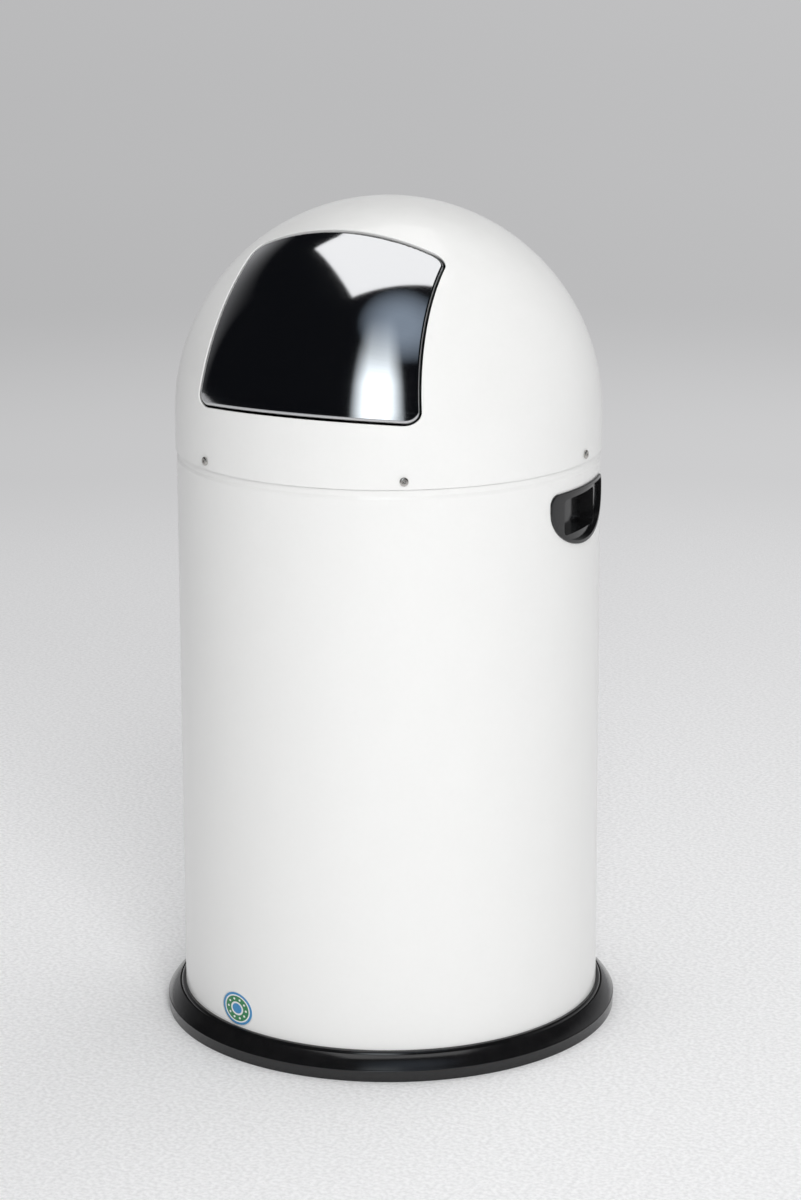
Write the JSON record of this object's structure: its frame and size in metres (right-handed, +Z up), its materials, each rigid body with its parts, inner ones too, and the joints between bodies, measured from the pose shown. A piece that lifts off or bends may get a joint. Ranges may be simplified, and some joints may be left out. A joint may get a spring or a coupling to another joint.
{
  "type": "swing-lid trash can",
  "caption": "Round steel kitchen bin: cylinder body on a black base ring, lift-off dome with an inward-swinging sprung steel flap, side grips and a lift-out bucket.",
  "frame": {"origin": "centre of the base on the floor", "axes": "+Z up along the can's axis, -Y towards the front where the flap is, +X to the right-hand grip"},
  "size_m": [0.402, 0.402, 0.7285],
  "materials": {
    "white_paint": "satin",
    "raw_steel": "plain",
    "black_plastic": "satin",
    "stainless": "brushed bright",
    "bright_plate": "nickel plate",
    "spring_steel": "drawn",
    "black_rubber": "matt",
    "zinc": "galvanised"
  },
  "bodies": {
    "can": {"body_shell": "white_paint", "body_floor": "raw_steel", "base_ring": "black_plastic", "grip_left": "black_plastic", "grip_right": "black_plastic"},
    "lid": {"dome": "white_paint", "dome_collar": "black_plastic", "dome_screws": "bright_plate", "dome_nuts": "bright_plate", "hinge_bracket_left": "raw_steel", "hinge_bracket_right": "raw_steel", "hinge_pin": "stainless", "pin_clips": "stainless", "stop_buffer_left": "black_rubber", "stop_buffer_right": "black_rubber"},
    "flap": {"flap": "stainless", "flap_arm_left": "raw_steel", "flap_arm_right": "raw_steel", "return_spring_left": "spring_steel", "return_spring_right": "spring_steel"},
    "bucket": {"liner": "zinc", "liner_base": "zinc", "liner_ear_front": "zinc", "liner_ear_back": "zinc", "liner_ear_rivets": "zinc"},
    "bail": {"bail": "zinc", "bail_grip": "black_plastic"}
  },
  "joints": [
    {"name": "dome_lift", "type": "slide", "parent": "can", "child": "lid", "axis": [0, 0, 1], "range_m": [0, 1]},
    {"name": "flap_swing", "type": "hinge", "parent": "lid", "child": "flap", "pos_m": [0, -0.0602, 0.67771], "axis": [1, 0, 0], "range_deg": [0, 60], "stiffness_Nm_per_rad": 0.3, "springref_deg": -68.75, "deforming": ["return_spring_left", "return_spring_right"]},
    {"name": "bucket_lift", "type": "slide", "parent": "can", "child": "bucket", "axis": [0, 0, 1], "range_m": [0, 0.5]},
    {"name": "bail_swing", "type": "hinge", "parent": "bucket", "child": "bail", "pos_m": [0, 0, 0.4489], "axis": [0, -1, 0], "range_deg": [0, 88.4]}
  ],
  "couplings": [
    {"joint": "bucket_lift", "follows": "dome_lift", "ratio": 0.5},
    {"joint": "bail_swing", "follows": "dome_lift", "rad_per_m": 1.5428}
  ]
}
